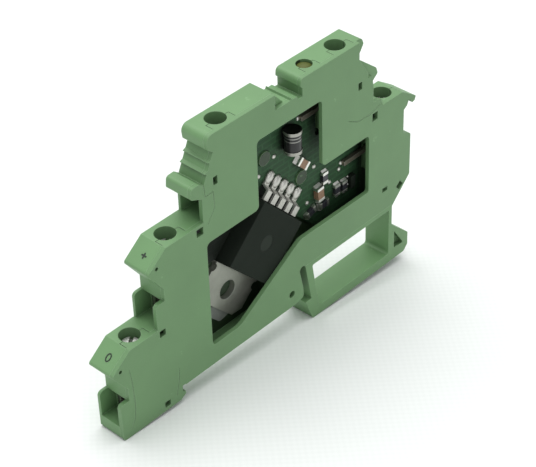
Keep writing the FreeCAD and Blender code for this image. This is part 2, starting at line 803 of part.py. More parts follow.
def make_adhesive():
    """Bead of silicone that holds the end of the tab to the housing."""
    inner = -TAB_END
    outer = inner - ADHESIVE_OUT
    bead = plate(
        [
            (outer, -ADHESIVE_LEFT, 1.0),
            (inner, -POWER_W / 2 + TAB_CHAMFER),
            (inner, ADHESIVE_RIGHT + ADHESIVE_T),
            (outer, ADHESIVE_RIGHT, 1.0),
        ],
        BACK_IN - ADHESIVE_T,
        BACK_IN,
    )
    return power_frame(bead)


def make_board():
    """Board cut away along one side and the lower end of the transistor."""
    turn = math.radians(POWER_ANGLE)
    side = -POWER_W / 2 - BOARD_GAP
    end = CASE_START + CASE_L + BOARD_GAP
    side_start = (BOARD_LOW_LEFT - POWER_Z + side * math.cos(turn)) / math.sin(turn)
    end_low = -(BOARD_LOW_RIGHT - POWER_Z - end * math.sin(turn)) / math.cos(turn)
    board = plate(
        [
            (BOARD_LEFT, BOARD_LOW_LEFT, 0.5),
            beside_power(side_start, side),
            beside_power(end, side),
            beside_power(end, end_low),
            (BOARD_RIGHT, BOARD_LOW_RIGHT, 0.5),
            (BOARD_RIGHT, BOARD_SHOULDER, 0.5),
            (BOARD_NECK_RIGHT, BOARD_SHOULDER, 0.5),
            (BOARD_NECK_RIGHT, BOARD_TOP, 0.5),
            (BOARD_NECK_LEFT, BOARD_TOP, 0.5),
            (BOARD_NECK_LEFT, BOARD_SHOULDER, 0.5),
            (BOARD_LEFT, BOARD_SHOULDER, 0.5),
        ],
        BOARD_FRONT,
        BACK_IN,
    )
    for x, z in posts():
        board = board.cut(across(x, z, BOARD_FRONT - WALL, BACK_IN + WALL, POST_R + POST_CLEAR))
    return board


def make_screw(cx, deck, head_depth):
    """Slotted clamp screw, its thread drawn as a plain shank."""
    head_top = deck - head_depth
    head_low = head_top - HEAD_H
    head = upright(cx, 0, head_low, head_top, HEAD_D)
    rim = [e for e in head.Edges if len(e.Vertexes) == 1 and abs(e.BoundBox.ZMin - head_top) < 1e-6]
    head = head.makeChamfer(HEAD_BEVEL, rim)
    slot_half = HEAD_SLOT_W / 2
    slot_low = head_top - HEAD_SLOT_D
    slot = block(cx - HEAD_D, cx + HEAD_D, -slot_half, slot_half, slot_low, head_top + HEAD_H)
    slot.rotate(V(cx, 0, 0), V(0, 0, 1), HEAD_TURN)
    shank = upright(cx, 0, head_low - SHANK_L, head_low, THREAD_D)
    return head.cut(slot).fuse(shank).removeSplitter()


def make_cage(cx, deck, drop, head_depth):
    """Clamp cage folded from sheet, open along X, with the threaded hole in its thick top."""
    head_top, entry_high, bar_top, cage_floor, cage_top = clamp_levels(deck, drop, head_depth)
    half = CAGE_L / 2
    side_in = CAGE_W / 2 - CAGE_SIDE
    cage = block(cx - half, cx + half, -CAGE_W / 2, CAGE_W / 2, cage_floor - CAGE_FLOOR, cage_top)
    corners = [e for e in cage.Edges if abs(e.BoundBox.XLength - CAGE_L) < 1e-6]
    cage = cage.makeFillet(CAGE_BEND_R, corners)
    inside = block(cx - CAGE_L, cx + CAGE_L, -side_in, side_in, cage_floor, cage_top - CAGE_TOP)
    thread = upright(cx, 0, cage_floor + CAGE_FLOOR, cage_top + WALL, THREAD_D + 2 * THREAD_CLEAR)
    return cage.cut([inside, thread])


def make_bar(cx, deck, drop, head_depth, side, tail_end):
    """Contact bar through the cage, with a narrower tail that is soldered to the board."""
    bar_top = clamp_levels(deck, drop, head_depth)[2]
    low = bar_top - BAR_T
    outer = cx + side * CAGE_L / 2
    shoulder = cx - side * (CAGE_L / 2 + CHAMBER_CLEAR + CHAMBER_WALL + BAR_OVERRUN)
    x0, x1 = sorted([outer, shoulder])
    bar = block(x0, x1, -BAR_W / 2, BAR_W / 2, low, bar_top)
    behind = BOARD_FRONT - TAIL_T
    if deck == DECK1:
        run = block(x1 - BAR_OVERRUN, tail_end + RISER_BAR_W, behind, BOARD_FRONT, low, bar_top)
        rise_top = clamp_levels(DECK2, MIDDLE_DROP, 0.0)[2] - BAR_T - RISER_BAR_GAP
        rise = block(tail_end, tail_end + RISER_BAR_W, behind, BOARD_FRONT, low, rise_top)
        return bar.fuse([run, rise]).removeSplitter()
    t0, t1 = sorted([shoulder + side * BAR_OVERRUN, tail_end])
    tail = block(t0, t1, behind, BOARD_FRONT, low, low + TAIL_W)
    return bar.fuse(tail).removeSplitter()


def make_lamp():
    """Status light with a flange on the board's top edge and a low crown under the deck."""
    top = DECK3 - LAMP_SINK
    radius = LAMP_D / 2
    base_z = BOARD_TOP + LAMP_STAND
    shoulder = base_z + LAMP_FLANGE_H
    profile = [
        V(LAMP_X, 0, base_z),
        V(LAMP_X + LAMP_FLANGE_D / 2, 0, base_z),
        V(LAMP_X + LAMP_FLANGE_D / 2, 0, shoulder),
        V(LAMP_X + radius, 0, shoulder),
        V(LAMP_X + radius, 0, top - LAMP_CROWN),
    ]
    edges = [Part.LineSegment(a, b).toShape() for a, b in zip(profile, profile[1:])]
    crown = V(LAMP_X, 0, top)
    crown_r = (radius**2 + LAMP_CROWN**2) / (2 * LAMP_CROWN)
    lean = math.asin(radius / crown_r) / 2
    centre = top - crown_r
    knee = V(LAMP_X + crown_r * math.sin(lean), 0, centre + crown_r * math.cos(lean))
    edges.append(Part.Arc(profile[-1], knee, crown).toShape())
    edges.append(Part.LineSegment(crown, profile[0]).toShape())
    return Part.Face(Part.Wire(edges)).revolve(V(LAMP_X, 0, 0), V(0, 0, 1), 360)


def make_lamp_leads():
    top = BOARD_TOP + LAMP_STAND
    front = BOARD_FRONT - LAMP_LEAD
    leads = []
    for side in (-1, 1):
        x0 = LAMP_X + side * LAMP_LEAD_PITCH / 2 - LAMP_LEAD / 2
        leads.append(block(x0, x0 + LAMP_LEAD, front, BOARD_FRONT, top - LAMP_LEAD_L, top))
    return leads


def make_diode():
    """Cylindrical diode that stands on the board, and its two end caps."""
    y = BOARD_FRONT - DIODE_D / 2
    low = DIODE_Z - DIODE_L / 2
    high = low + DIODE_L
    body = upright(DIODE_X, y, low + DIODE_CAP, high - DIODE_CAP, DIODE_D - DIODE_STEP)
    caps = [
        upright(DIODE_X, y, low, low + DIODE_CAP, DIODE_D),
        upright(DIODE_X, y, high - DIODE_CAP, high, DIODE_D),
    ]
    return body, caps


def make_chips(places, length, width, height):
    front = BOARD_FRONT - height
    return [turned_plate(x, z, length, width, angle, front, BOARD_FRONT) for x, z, angle in places]


def make_small_transistor():
    half = SMALL_W / 2
    body = block(
        SMALL_X - half,
        SMALL_X + half,
        BOARD_FRONT - SMALL_H,
        BOARD_FRONT - SMALL_LIFT,
        SMALL_Z - SMALL_L / 2,
        SMALL_Z + SMALL_L / 2,
    )
    pins = [(-1, -SMALL_PITCH / 2), (-1, SMALL_PITCH / 2), (1, 0.0)]
    for side, dz in pins:
        x0, x1 = sorted([SMALL_X + side * (half - SMALL_LIFT), SMALL_X + side * (half + SMALL_PIN_OUT)])
        z = SMALL_Z + dz - SMALL_PIN / 2
        body = body.fuse(block(x0, x1, BOARD_FRONT - SMALL_PIN_H, BOARD_FRONT, z, z + SMALL_PIN))
    return body.removeSplitter()


def save(name, shape):
    """Writes one node, whose shape is a solid or a list of separate solids."""
    if isinstance(shape, list):
        shape = Part.makeCompound(shape)
    solids = shape.Solids
    good = all(s.isValid() for s in solids)
    shape = solids[0] if len(solids) == 1 else Part.makeCompound(solids)
    shape.exportStep("parts/" + name + ".step")
    box = shape.BoundBox
    print("%-26s solids %d valid %s volume %8.2f" % (name, len(solids), good, shape.Volume))
    print("    x %7.2f %7.2f  y %6.2f %6.2f" % (box.XMin, box.XMax, box.YMin, box.YMax))
    print("    z %7.2f %7.2f" % (box.ZMin, box.ZMax))


os.makedirs("parts", exist_ok=True)
save("base_housing", make_base())
save("front_cover", make_cover())
save("circuit_board", make_board())
save("power_transistor_case", make_case())
save("power_transistor_tab", make_tab())
first_lead = -(LEAD_COUNT - 1) / 2
save("power_transistor_leads", [make_lead((first_lead + i) * LEAD_PITCH) for i in range(LEAD_COUNT)])
save("silicone_bead", make_adhesive())
for name, cx, deck, drop, depth, side, tail_end in CLAMPS:
    save("clamp_screw_" + name, make_screw(cx, deck, depth))
    save("clamp_cage_" + name, make_cage(cx, deck, drop, depth))
    save("contact_bar_" + name, make_bar(cx, deck, drop, depth, side, tail_end))
save("indicator_lamp", make_lamp())
save("indicator_lamp_leads", make_lamp_leads())
diode_body, diode_caps = make_diode()
save("protection_diode", diode_body)
save("protection_diode_caps", diode_caps)
save("chip_resistors", make_chips(RESISTORS, RESISTOR_L, RESISTOR_W, CHIP_H))
save("chip_capacitors", make_chips(CAPACITORS, CAPACITOR_L, CAPACITOR_W, CAPACITOR_H))
save("small_transistor", make_small_transistor())
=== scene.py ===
import math

import bmesh
import bpy
from mathutils import Matrix, Quaternion, Vector


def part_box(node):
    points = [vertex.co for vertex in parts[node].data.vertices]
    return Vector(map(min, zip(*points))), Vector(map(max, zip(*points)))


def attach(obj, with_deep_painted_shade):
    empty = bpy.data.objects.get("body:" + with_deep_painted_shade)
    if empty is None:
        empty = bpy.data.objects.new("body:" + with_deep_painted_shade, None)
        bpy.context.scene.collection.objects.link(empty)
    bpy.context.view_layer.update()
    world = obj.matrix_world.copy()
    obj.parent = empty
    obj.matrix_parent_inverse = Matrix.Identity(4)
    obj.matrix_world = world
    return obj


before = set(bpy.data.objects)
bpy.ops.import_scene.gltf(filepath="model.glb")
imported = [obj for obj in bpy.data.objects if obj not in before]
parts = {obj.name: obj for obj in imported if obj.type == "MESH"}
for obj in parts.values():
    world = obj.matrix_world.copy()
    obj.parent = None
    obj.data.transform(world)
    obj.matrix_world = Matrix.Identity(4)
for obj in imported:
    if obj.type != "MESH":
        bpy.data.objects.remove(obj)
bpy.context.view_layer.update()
MM = 0.001


# Base housing
# One moulding of green glass-filled polyamide with the terminal blocks, the wing, the snap foot
# and the back wall. Its skin is satin with a fine grain, and pale at the edges, partly from rubbing
# and partly as a painted edge highlight. Shade is painted into its colour: darker in crevices and
# recesses, and near black on the back wall and post tops deep inside.

SHADE_SAMPLES = 6
SHADE_REACH = 4 * MM
HOUSING_GREEN = (0.148, 0.292, 0.124, 1.0)
HOUSING_PALE = (0.28, 0.46, 0.25, 1.0)

# Depths behind the middle plane between which the flat faces deep inside lie. Those that look
# forward get painted shade, near black.
POST_TOPS = (0.5 * MM, 1.8 * MM)
BACK_WALL = (2.1 * MM, 2.35 * MM)
LOOKS_FORWARD = 0.9


class Number:
    """A shader socket that takes part in Python sums, each of which adds a Math node."""

    def __init__(self, tree, socket):
        self.tree = tree
        self.socket = socket

    def combine(self, operation, first, second):
        maths = self.tree.nodes.new("ShaderNodeMath")
        maths.operation = operation
        for place, term in enumerate((first, second)):
            if isinstance(term, Number):
                self.tree.links.new(term.socket, maths.inputs[place])
            else:
                maths.inputs[place].default_value = term
        return Number(self.tree, maths.outputs[0])

    def __add__(self, other):
        return self.combine("ADD", self, other)

    def __radd__(self, other):
        return self.combine("ADD", other, self)

    def __sub__(self, other):
        return self.combine("SUBTRACT", self, other)

    def __rsub__(self, other):
        return self.combine("SUBTRACT", other, self)

    def __mul__(self, other):
        return self.combine("MULTIPLY", self, other)

    def __gt__(self, other):
        return self.combine("GREATER_THAN", self, other)

    def between(self, low, high):
        """1 above low and up to high, and 0 elsewhere."""
        return (self > low) - (self > high)


class Finish:
    """One material: node() adds any node, and wear() ends it in the surface shader."""

    def __init__(self, name):
        self.material = bpy.data.materials.new(name)
        self.material.use_nodes = True
        self.tree = self.material.node_tree
        self.surface = self.tree.nodes["Principled BSDF"]

    def connect(self, value, socket):
        if isinstance(value, Number):
            self.tree.links.new(value.socket, socket)
        else:
            socket.default_value = value

    def node(self, kind, settings=None, sockets=None, output=0):
        added = self.tree.nodes.new(kind)
        for setting, value in (settings or {}).items():
            setattr(added, setting, value)
        for socket, value in (sockets or {}).items():
            self.connect(value, added.inputs[socket])
        return Number(self.tree, added.outputs[output])

    def place(self, stretch=(1, 1, 1), turn=(0, 0, 0)):
        """Object coordinates, stretched or turned."""
        here = self.node("ShaderNodeTexCoord", output="Object")
        sockets = {"Vector": here, "Scale": stretch, "Rotation": turn}
        return self.node("ShaderNodeMapping", {"vector_type": "POINT"}, sockets)

    def noise(self, where, per_metre, detail=3.0, rough=0.55):
        sockets = {"Vector": where, "Scale": per_metre, "Detail": detail, "Roughness": rough}
        return self.node("ShaderNodeTexNoise", sockets=sockets, output="Fac")

    def wave(self, where, per_metre, direction, **more):
        settings = {"wave_type": "BANDS", "bands_direction": direction, **more}
        sockets = {"Vector": where, "Scale": per_metre}
        return self.node("ShaderNodeTexWave", settings, sockets, output="Fac")

    def axis(self, vector, letter):
        return self.node("ShaderNodeSeparateXYZ", sockets={"Vector": vector}, output=letter)

    def facing(self, letter):
        """How far a flat face looks along one axis, from -1 to 1."""
        return self.axis(self.node("ShaderNodeNewGeometry", output="True Normal"), letter)

    def measure(self, operation, first, second):
        """One number from two vectors: their dot product or their distance."""
        settings = {"operation": operation}
        return self.node("ShaderNodeVectorMath", settings, {0: first, 1: second}, output="Value")

    def open_air(self):
        """Share of the light round about that reaches a spot past what stands near it."""
        settings = {"samples": SHADE_SAMPLES}
        sockets = {"Distance": SHADE_REACH}
        return self.node("ShaderNodeAmbientOcclusion", settings, sockets, output="AO")

    def mix(self, share, first, second):
        settings = {"data_type": "RGBA", "clamp_factor": True}
        return self.node("ShaderNodeMix", settings, {0: share, 6: first, 7: second}, output=2)

    def soft_edges(self, radius):
        """Normal of a rounded edge, and how much it departs from the flat faces beside it."""
        rounded = self.node("ShaderNodeBevel", {"samples": SHADE_SAMPLES}, {"Radius": radius})
        flat = self.node("ShaderNodeNewGeometry", output="Normal")
        return rounded, 1.0 - self.measure("DOT_PRODUCT", rounded, flat)

    def bump(self, height, depth, strength=1.0, normal=None):
        sockets = {"Height": height, "Distance": depth, "Strength": strength}
        if normal is not None:
            sockets["Normal"] = normal
        return self.node("ShaderNodeBump", sockets=sockets)

    def wear(self, **sockets):
        """Sets surface inputs by name, and gives the finished material."""
        for name, value in sockets.items():
            self.connect(value, self.surface.inputs[name.replace("_", " ")])
        return self.material


def dress(material, *nodes):
    """Gives CAD nodes a finish."""
    for node in nodes:
        mesh = parts[node].data
        mesh.materials.clear()
        mesh.materials.append(material)


def dimmed(colour, share):
    return tuple(share * part for part in colour[:3]) + (1.0,)


def moulded_green(name, base):
    """Green polyamide: cloudy pigment, fine grain, soft edges made paler by rubbing and by a
    painted highlight, and painted shade in crevices and deep inside.
    """
    finish = Finish(name)
    where = finish.place()
    clouds = finish.noise(where, per_metre=90, detail=4.0)
    grain = finish.noise(where, per_metre=5200, detail=2.0)
    dust = finish.noise(where, per_metre=420, detail=5.0, rough=0.7)
    rounded, edge = finish.soft_edges(radius=0.22 * MM)
    depth = finish.axis(where, "Y")
    inside = depth.between(*POST_TOPS) + depth.between(*BACK_WALL)
    # Painted shade: forward-looking faces on the back wall and post tops are dimmed to near black.
    deep_painted_shade_mask = inside * (finish.facing("Y") * -1.0 > LOOKS_FORWARD)
    clouded = finish.mix(clouds * 1.6 - 0.3, dimmed(base, 0.85), base)
    # Painted shade: the colour dims where ambient occlusion finds parts close by, in crevices and
    # recesses.
    with_painted_crevice_shade = finish.mix(finish.open_air() * 1.6 - 0.3, dimmed(base, 0.6), clouded)
    with_deep_painted_shade = finish.mix(deep_painted_shade_mask * 0.95, with_painted_crevice_shade, dimmed(base, 0.12))
    speckled = finish.mix((dust > 0.68) * 0.25, with_deep_painted_shade, HOUSING_PALE)
    # Lightened edges: partly wear from rubbing, partly a painted highlight.
    rubbed_and_highlit = finish.mix(edge * 2.4, speckled, HOUSING_PALE)
    height = grain * 0.6 + clouds * 0.4
    normal = finish.bump(height, depth=0.018 * MM, strength=0.55, normal=rounded)
    return finish.wear(Base_Color=rubbed_and_highlit, Roughness=0.42 + grain * 0.2, Normal=normal)


dress(moulded_green("moulded green", HOUSING_GREEN), "base_housing")


# Circuit board
# Glass-epoxy board with dark green solder mask. Copper runs lie under the mask, and show as
# slightly raised and lighter lines. The mask is drawn near black on the transistor's side of a
# line across its axis, and painted shade darkens it in crevices and beside tall parts.

POWER_TURN = math.radians(43.5)
POWER_HOLE = Vector((-0.8, 0, 10.8)) * MM
ALONG = Vector((math.cos(POWER_TURN), 0, math.sin(POWER_TURN)))
ACROSS = Vector((math.sin(POWER_TURN), 0, -math.cos(POWER_TURN)))
# Line across the transistor's axis, short of the lead joints, on whose near side the mask is drawn
# near black.
DARK_SIDE_END = POWER_HOLE.dot(ALONG) + 19.7 * MM
DARK_SIDE_FADE = 3.0 * MM


def masked_board():
    finish = Finish("solder mask")
    where = finish.place(turn=(math.pi / 2, 0, 0))
    along = finish.measure("DOT_PRODUCT", finish.place(), ALONG)
    # Near black on the transistor's side of the line, fading over 3 mm.
    dark_side = (DARK_SIDE_END - along) * (1 / DARK_SIDE_FADE)
    settings = {"offset": 0.37, "squash": 1.4, "squash_frequency": 3}
    sockets = {
        "Vector": where,
        "Scale": 260.0,
        "Mortar Size": 0.055,
        "Mortar Smooth": 0.25,
        "Brick Width": 0.9,
        "Row Height": 0.32,
    }
    runs = finish.node("ShaderNodeTexBrick", settings, sockets, output="Fac")
    weave = finish.noise(where, per_metre=1900, detail=2.0)
    shade = finish.mix(runs, (0.026, 0.066, 0.030, 1), (0.034, 0.094, 0.040, 1))
    tinted = finish.mix(weave * 0.35, shade, (0.028, 0.078, 0.034, 1))
    with_dark_side = finish.mix(dark_side, tinted, (0.012, 0.016, 0.012, 1))
    # Painted shade: the mask goes near black where ambient occlusion finds parts close by, in
    # crevices and beside tall parts.
    with_painted_crevice_shade = finish.mix(finish.open_air() * 2.4 - 0.9, (0.009, 0.012, 0.009, 1), with_dark_side)
    normal = finish.bump(runs * 0.8 + weave * 0.2, depth=0.03 * MM, strength=0.5)
    return finish.wear(
        Base_Color=with_painted_crevice_shade,
        Roughness=0.42 + weave * 0.2,
        Normal=normal,
        Specular_IOR_Level=0.15,
    )


dress(masked_board(), "circuit_board")


# Solder joints
# Each of the five leads ends under a long bright dome of solder. Pins that come through the
# board show as small round domes.


def solder(name, dull, clean):
    finish = Finish(name)
    where = finish.place()
    ripple = finish.noise(where, per_metre=1600, detail=3.0)
    shade = finish.mix(ripple, dull, clean)
    normal = finish.bump(ripple, depth=0.06 * MM, strength=0.5)
    return finish.wear(Base_Color=shade, Metallic=1.0, Roughness=0.26 + ripple * 0.2, Normal=normal)


SOLDER = solder("solder", (0.42, 0.42, 0.39, 1), (0.70, 0.69, 0.64, 1))
BOARD_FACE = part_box("circuit_board")[0].y
LEAD_END = 22.3 * MM
LEAD_PITCH = 2.7 * MM
JOINT_LIFT = 0.1


def joint_tree():
    """Geometry nodes: a flattened dome, which may be long and turned, on every point given."""
    tree = bpy.data.node_groups.new("solder joints", "GeometryNodeTree")
    face = tree.interface
    face.new_socket("Points", in_out="INPUT", socket_type="NodeSocketGeometry")
    for label in ("Joint Length", "Joint Width", "Joint Height", "Joint Turn"):
        face.new_socket(label, in_out="INPUT", socket_type="NodeSocketFloat")
    face.new_socket("Joints", in_out="OUTPUT", socket_type="NodeSocketGeometry")
    add = tree.nodes.new
    link = tree.links.new
    given = add("NodeGroupInput")
    result = add("NodeGroupOutput")
    ball = add("GeometryNodeMeshUVSphere")
    ball.inputs["Segments"].default_value = 14
    ball.inputs["Rings"].default_value = 8
    flat = add("ShaderNodeCombineXYZ")
    facing = add("ShaderNodeCombineXYZ")
    copies = add("GeometryNodeInstanceOnPoints")
    spread = add("GeometryNodeRealizeInstances")
    smooth = add("GeometryNodeSetShadeSmooth")
    paint = add("GeometryNodeSetMaterial")
    paint.inputs["Material"].default_value = SOLDER
    link(given.outputs["Points"], copies.inputs["Points"])
    link(ball.outputs["Mesh"], copies.inputs["Instance"])
    link(given.outputs["Joint Length"], flat.inputs["X"])
    link(given.outputs["Joint Height"], flat.inputs["Y"])
    link(given.outputs["Joint Width"], flat.inputs["Z"])
    link(given.outputs["Joint Turn"], facing.inputs["Y"])
    link(flat.outputs[0], copies.inputs["Scale"])
    link(facing.outputs[0], copies.inputs["Rotation"])
    link(copies.outputs[0], spread.inputs[0])
    link(spread.outputs[0], smooth.inputs[0])
    link(smooth.outputs[0], paint.inputs[0])
    link(paint.outputs[0], result.inputs["Joints"])
    return tree


def grown(name, points, tree, **sizes):
    """Runs a geometry tree on a set of points and keeps the result as a plain mesh."""
    seed = bpy.data.meshes.new(name + " points")
    seed.from_pydata([tuple(p) for p in points], [], [])
    carrier = bpy.data.objects.new(name + " carrier", seed)
    bpy.context.scene.collection.objects.link(carrier)
    modifier = carrier.modifiers.new("grow", "NODES")
    modifier.node_group = tree
    for socket in tree.interface.items_tree:
        label = socket.name.replace(" ", "_").lower()
        if socket.in_out == "INPUT" and label in sizes:
            modifier[socket.identifier] = sizes[label]
    state = carrier.evaluated_get(bpy.context.evaluated_depsgraph_get())
    mesh = bpy.data.meshes.new_from_object(state)
    bpy.data.objects.remove(carrier)
    piece = bpy.data.objects.new(name, mesh)
    bpy.context.scene.collection.objects.link(piece)
    return piece


def on_board(x, z, lift=0.0):
    return Vector((x * MM, BOARD_FACE - lift * MM, z * MM))


JOINTS = joint_tree()
lead_spots = []
for row in (-2, -1, 0, 1, 2):
    spot = POWER_HOLE + ALONG * LEAD_END + ACROSS * row * LEAD_PITCH
    lead_spots.append(on_board(spot.x / MM, spot.z / MM, JOINT_LIFT))
lead_joints = grown(
    "lead_joints",
    lead_spots,
    JOINTS,
    joint_length=1.5 * MM,
    joint_width=1.05 * MM,
    joint_height=0.8 * MM,
    joint_turn=-POWER_TURN,
)
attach(lead_joints, "housing")

PIN_SPOTS = (
    (6.3, 38.9), (-8.6, 22.2), (20.1, 38.9), (32.3, 22.2), (-11.6, 20.2),
    (19.8, 42.6), (21.8, 42.6), (16.7, 33.3), (16.7, 39.9), (34.5, 15.65),
    (34.5, 17.55), (36.0, 16.6), (8.4, 40.3), (9.0, 31.6), (24.4, 25.6),
    (22.7, 27.2), (29.6, 26.8), (12.6, 41.6), (31.8, 21.0), (28.9, 19.4),
    (22.3, 18.0), (34.1, 26.0), (13.3, 33.9), (7.0, 35.4), (33.6, 29.9), (27.6, 29.3),
)
pin_joints = grown(
    "pin_joints",
    [on_board(x, z) for x, z in PIN_SPOTS],
    JOINTS,
    joint_length=0.5 * MM,
    joint_width=0.5 * MM,
    joint_height=0.3 * MM,
    joint_turn=0.0,
)
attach(pin_joints, "housing")


# Power transistor
# Five-lead switch in a black moulded case on a tinned copper tab. The tab shows the dull grain
# of the stamped and dipped metal, and the case the matte skin of its mould.


def stamped_tin(name, dull, clean, turn=0.0):
    """Dipped tin, blotched, with fine streaks along the way that the sheet was drawn."""
    finish = Finish(name)
    where = finish.place(turn=(0, turn, 0))
    drawn = finish.place(stretch=(1, 1, 9), turn=(0, turn, 0))
    blotch = finish.noise(where, per_metre=260, detail=5.0, rough=0.65)
    streak = finish.noise(drawn, per_metre=700, detail=3.0)
    rounded, edge = finish.soft_edges(radius=0.12 * MM)
    shade = finish.mix(blotch, dull, clean)
    bright = finish.mix(edge, shade, (0.8, 0.8, 0.77, 1))
    height = streak * 0.5 + blotch * 0.5
    normal = finish.bump(height, depth=0.05 * MM, strength=0.6, normal=rounded)
    return finish.wear(
        Base_Color=bright,
        Metallic=0.6,
        Roughness=0.28 + blotch * 0.25,
        Normal=normal,
    )


MOULD_MARK = (7.37 * MM, -2.1 * MM, 18.55 * MM)
MOULD_MARK_R = 1.8 * MM


def moulded_black(name):
    """Black moulding compound, with the round ejector mark a little paler."""
    finish = Finish(name)
    where = finish.place()
    grain = finish.noise(where, per_metre=3800, detail=3.0)
    haze = finish.noise(where, per_metre=170, detail=4.0)
    rounded, edge = finish.soft_edges(radius=0.15 * MM)
    shade = finish.mix(haze, (0.015, 0.020, 0.015, 1), (0.022, 0.028, 0.022, 1))
    from_mark = finish.measure("DISTANCE", where, MOULD_MARK)
    marked = finish.mix(1.0 - (from_mark > MOULD_MARK_R), shade, (0.032, 0.040, 0.032, 1))
    worn = finish.mix(edge * 0.8, marked, (0.036, 0.040, 0.036, 1))
    normal = finish.bump(grain, depth=0.02 * MM, strength=0.6, normal=rounded)
    return finish.wear(
        Base_Color=worn,
        Roughness=0.5 + grain * 0.2,
        Normal=normal,
        Specular_IOR_Level=0.04,
    )


TIN = stamped_tin("stamped tin", (0.22, 0.23, 0.19, 1), (0.50, 0.51, 0.45, 1), -POWER_TURN)
DIPPED = stamped_tin("dipped leads", (0.36, 0.36, 0.32, 1), (0.70, 0.69, 0.64, 1))
dress(TIN, "power_transistor_tab")
dress(moulded_black("moulded black"), "power_transistor_case", "small_transistor")
dress(DIPPED, "power_transistor_leads", "indicator_lamp_leads")


# Silicone bead
# Cured grey silicone holds the end of the tab to the back wall. It is soft, dull and a little
# uneven.


def cured_silicone():
    finish = Finish("cured silicone")
    where = finish.place()
    lumps = finish.noise(where, per_metre=600, detail=3.0)
    shade = finish.mix(lumps, (0.16, 0.18, 0.16, 1), (0.30, 0.32, 0.29, 1))
    normal = finish.bump(lumps, depth=0.2 * MM, strength=0.7)
    return finish.wear(Base_Color=shade, Roughness=0.5 + lumps * 0.2, Normal=normal)


dress(cured_silicone(), "silicone_bead")


# Diode
# Cylinder lacquered black with two silver bands, and a plated cap at each end that is soldered
# flat to the board. The caps are bright round the rim and dark on their flat end.

DIODE_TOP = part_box("protection_diode")[1].z
LOOKS_UP = 0.8
BAND_T = 0.22 * MM
BAND_LOW = (DIODE_TOP - 0.7 * MM, DIODE_TOP - 1.4 * MM)


def lacquer():
    finish = Finish("black lacquer")
    where = finish.place()
    flow = finish.noise(where, per_metre=900, detail=2.0)
    height = finish.axis(where, "Z")
    first, second = (height.between(low, low + BAND_T) for low in BAND_LOW)
    bands = first + second
    shade = finish.mix(flow, (0.006, 0.006, 0.007, 1), (0.014, 0.013, 0.013, 1))
    banded = finish.mix(bands, shade, (0.30, 0.30, 0.28, 1))
    normal = finish.bump(flow, depth=0.03 * MM, strength=0.4)
    return finish.wear(
        Base_Color=banded,
        Metallic=bands * 0.9,
        Roughness=0.3 + flow * 0.12,
        Normal=normal,
    )


def plated_cap():
    finish = Finish("plated caps")
    where = finish.place()
    tint = finish.noise(where, per_metre=800, detail=3.0)
    plated = finish.mix(tint, (0.26, 0.26, 0.23, 1), (0.52, 0.51, 0.47, 1))
    shade = finish.mix(finish.facing("Z") > LOOKS_UP, plated, (0.02, 0.02, 0.02, 1))
    normal = finish.bump(tint, depth=0.05 * MM, strength=0.5)
    return finish.wear(Base_Color=shade, Metallic=0.9, Roughness=0.3 + tint * 0.2, Normal=normal)


dress(lacquer(), "protection_diode")
dress(plated_cap(), "protection_diode_caps")


# Chip resistors and chip capacitors
# Ceramic blocks with a dark glaze or a bare brown skin. Each has bright tinned ends that wrap
# round the block and carry a solder fillet.


def fired_ceramic(name, dark, light, rough):
    finish = Finish(name)
    where = finish.place()
    grain = finish.noise(where, per_metre=2600, detail=3.0)
    rounded, edge = finish.soft_edges(radius=0.08 * MM)
    shade = finish.mix(grain, dark, light)
    worn = finish.mix(edge, shade, light)
    normal = finish.bump(grain, depth=0.02 * MM, strength=0.5, normal=rounded)
    return finish.wear(Base_Color=worn, Roughness=rough + grain * 0.15, Normal=normal)


GLAZE = fired_ceramic("black glaze", (0.012, 0.012, 0.015, 1), (0.05, 0.05, 0.06, 1), 0.25)
BROWN = fired_ceramic("brown ceramic", (0.20, 0.11, 0.06, 1), (0.34, 0.21, 0.13, 1), 0.45)
dress(GLAZE, "chip_resistors")
dress(BROWN, "chip_capacitors")

END_WRAP = 0.6
END_PROUD = 0.06
END_ROUND = 0.05
FILLET = 0.45
FILLET_RISE = 0.55
RESISTOR_SIZE = (2.6, 1.4, 0.7)
CAPACITOR_SIZE = (3.2, 1.7, 1.2)
RESISTOR_PLACES = (
    (27.1, 21.7, 90), (30.7, 16.7, 90), (32.9, 16.4, 90), (26.8, 15.4, 0), (23.0, 15.6, 20),
)
CAPACITOR_PLACES = ((25.2, 19.0, 95), (20.4, 28.9, -46))


def wrapped_end(mesh, size, x, z, angle, side):
    """One tinned end: a cap round the block that flares out to its fillet on the board."""
    length, width, height = size
    inner = side * (length / 2 - END_WRAP)
    outer = side * (length / 2 + END_PROUD)
    toe = side * (length / 2 + FILLET)
    half = width / 2 + END_PROUD
    top = height + END_PROUD
    profile = ((inner, 0), (toe, 0), (outer, height * FILLET_RISE), (outer, top), (inner, top))
    turn = Matrix.Rotation(math.radians(angle), 4, "Z")
    rings = []
    for across in (-half, half):
        ring = []
        for along, up in profile:
            spot = turn @ Vector((along, across, 0))
            ring.append(mesh.verts.new(on_board(x + spot.x, z + spot.y, up)))
        rings.append(ring)
    mesh.faces.new(rings[0])
    mesh.faces.new(list(reversed(rings[1])))
    for i in range(len(profile)):
        j = (i + 1) % len(profile)
        mesh.faces.new((rings[0][j], rings[0][i], rings[1][i], rings[1][j]))


def finish_piece(name, mesh, material, with_deep_painted_shade):
    """Turns a bmesh into a piece that rides on a body."""
    bmesh.ops.remove_doubles(mesh, verts=mesh.verts, dist=1e-7)
    bmesh.ops.recalc_face_normals(mesh, faces=mesh.faces)
    data = bpy.data.meshes.new(name)
    mesh.to_mesh(data)
    mesh.free()
    data.materials.append(material)
    piece = bpy.data.objects.new(name, data)
    bpy.context.scene.collection.objects.link(piece)
    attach(piece, with_deep_painted_shade)


